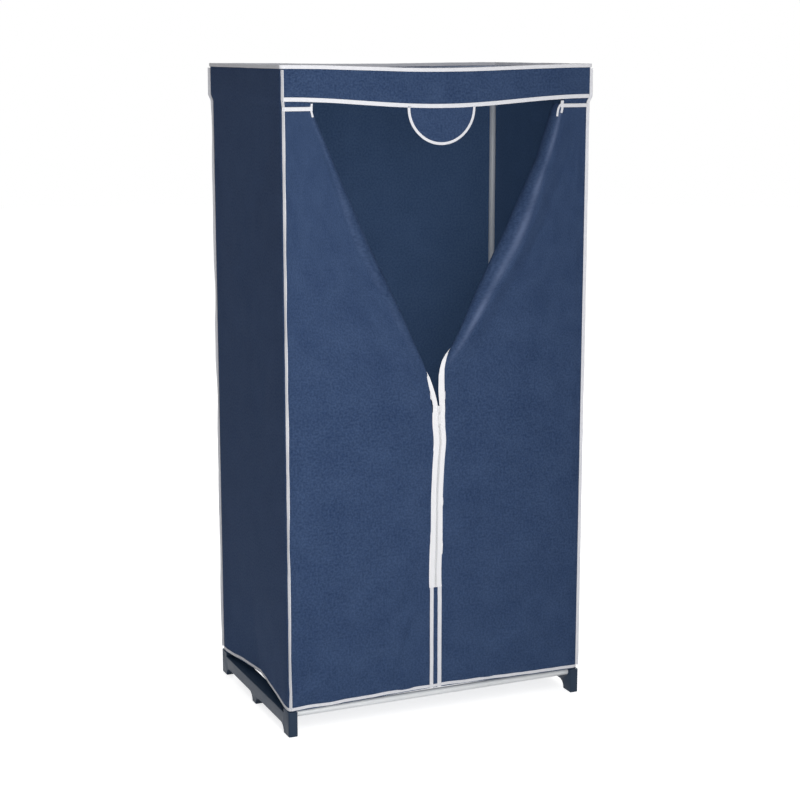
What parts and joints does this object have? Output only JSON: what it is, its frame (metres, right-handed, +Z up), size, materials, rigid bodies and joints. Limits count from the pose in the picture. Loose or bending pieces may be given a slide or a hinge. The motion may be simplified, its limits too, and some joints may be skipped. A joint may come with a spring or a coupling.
{
  "type": "portable fabric wardrobe",
  "caption": "Free-standing portable wardrobe: tube frame on moulded side brackets inside a sewn cloth cover, its zipped front folded back into a V-shaped opening.",
  "frame": {"origin": "on the floor under the middle of the wardrobe", "axes": "+Z up, +X to the right as seen from the front, +Y from the front to the back"},
  "size_m": [0.7706, 0.5104, 1.525],
  "materials": {
    "cloth": "navy non-woven cloth",
    "binding": "off-white folded binding tape",
    "moulding": "dark blue-black moulded plastic",
    "tube": "white powder coat on steel tube",
    "zip_tape": "white woven zip tape",
    "zip_coil": "white nylon coil",
    "zip_metal": "white enamelled metal"
  },
  "bodies": {
    "wardrobe": {"base_bracket_left": "moulding", "base_bracket_right": "moulding", "top_bracket_left": "moulding", "top_bracket_right": "moulding", "post_joiner_front_left": "moulding", "post_joiner_front_right": "moulding", "post_joiner_back_left": "moulding", "post_joiner_back_right": "moulding", "post_lower_front_left": "tube", "post_lower_front_right": "tube", "post_lower_back_left": "tube", "post_lower_back_right": "tube", "post_upper_front_left": "tube", "post_upper_front_right": "tube", "post_upper_back_left": "tube", "post_upper_back_right": "tube", "bottom_rail_front": "tube", "bottom_rail_back": "tube", "top_rail_front": "tube", "top_rail_back": "tube", "hanging_rail": "tube", "cover_side_left": "cloth", "cover_side_right": "cloth", "cover_back": "cloth", "cover_roof": "cloth", "cover_front_left": "cloth", "cover_front_right": "cloth", "header_left": "cloth", "header_right": "cloth", "valance": "cloth", "placket": "cloth", "valance_trim": "binding", "seam_binding_front_left": "binding", "seam_binding_front_right": "binding", "seam_binding_back_left": "binding", "seam_binding_back_right": "binding", "top_binding": "binding", "hem_binding": "binding", "header_binding_left": "binding", "header_binding_right": "binding", "placket_binding_left": "binding", "placket_binding_right": "binding", "zip_teeth": "zip_coil", "zip_tape_left": "zip_tape", "zip_tape_right": "zip_tape", "fold_roll_left": "cloth", "fold_roll_right": "cloth"},
    "zip_slider": {"zip_slider": "zip_metal"},
    "zip_pull": {"zip_pull": "zip_metal"},
    "flap_left": {"flap_left": "cloth", "flap_tape_left": "zip_tape"},
    "flap_right": {"flap_right": "cloth", "flap_tape_right": "zip_tape"},
    "flap_corner_left": {"flap_corner_left": "cloth", "flap_corner_tape_left": "zip_tape"},
    "flap_corner_right": {"flap_corner_right": "cloth", "flap_corner_tape_right": "zip_tape"},
    "valance_tab": {"valance_tab": "cloth", "valance_tab_trim": "binding"}
  },
  "joints": [
    {"name": "zip_travel", "type": "slide", "parent": "wardrobe", "child": "zip_slider", "axis": [0, 0, 1], "range_m": [0, 0.668]},
    {"name": "zip_pull_swing", "type": "hinge", "parent": "zip_slider", "child": "zip_pull", "pos_m": [0, -0.24635, 0.74], "axis": [-1, 0, 0], "range_deg": [0, 180]},
    {"name": "flap_right_fold", "type": "hinge", "parent": "wardrobe", "child": "flap_right", "pos_m": [0, -0.2427, 0.751], "axis": [0.4344, 0.0291, 0.9003], "range_deg": [0, 180], "deforming": ["fold_roll_right"]},
    {"name": "flap_left_fold", "type": "hinge", "parent": "wardrobe", "child": "flap_left", "pos_m": [0, -0.2427, 0.751], "axis": [0.4344, -0.0291, -0.9003], "range_deg": [0, 180], "deforming": ["fold_roll_left"]},
    {"name": "flap_right_corner", "type": "hinge", "parent": "flap_right", "child": "flap_corner_right", "pos_m": [0.3703, -0.23333, 0.75051], "axis": [0, -0.0525, -0.9986], "range_deg": [0, 88.55]},
    {"name": "flap_left_corner", "type": "hinge", "parent": "flap_left", "child": "flap_corner_left", "pos_m": [-0.3703, -0.23333, 0.75051], "axis": [0, 0.0525, 0.9986], "range_deg": [0, 88.55]},
    {"name": "valance_tab_lift", "type": "hinge", "parent": "wardrobe", "child": "valance_tab", "pos_m": [-0.002, -0.2558, 1.4264], "axis": [-1, 0, 0], "range_deg": [0, 90]}
  ],
  "couplings": [
    {"joint": "flap_right_fold", "follows": "zip_travel", "rad_per_m": 4.7028},
    {"joint": "flap_left_fold", "follows": "zip_travel", "rad_per_m": 4.7028},
    {"joint": "flap_right_corner", "follows": "zip_travel", "rad_per_m": 2.3134},
    {"joint": "flap_left_corner", "follows": "zip_travel", "rad_per_m": 2.3134}
  ]
}
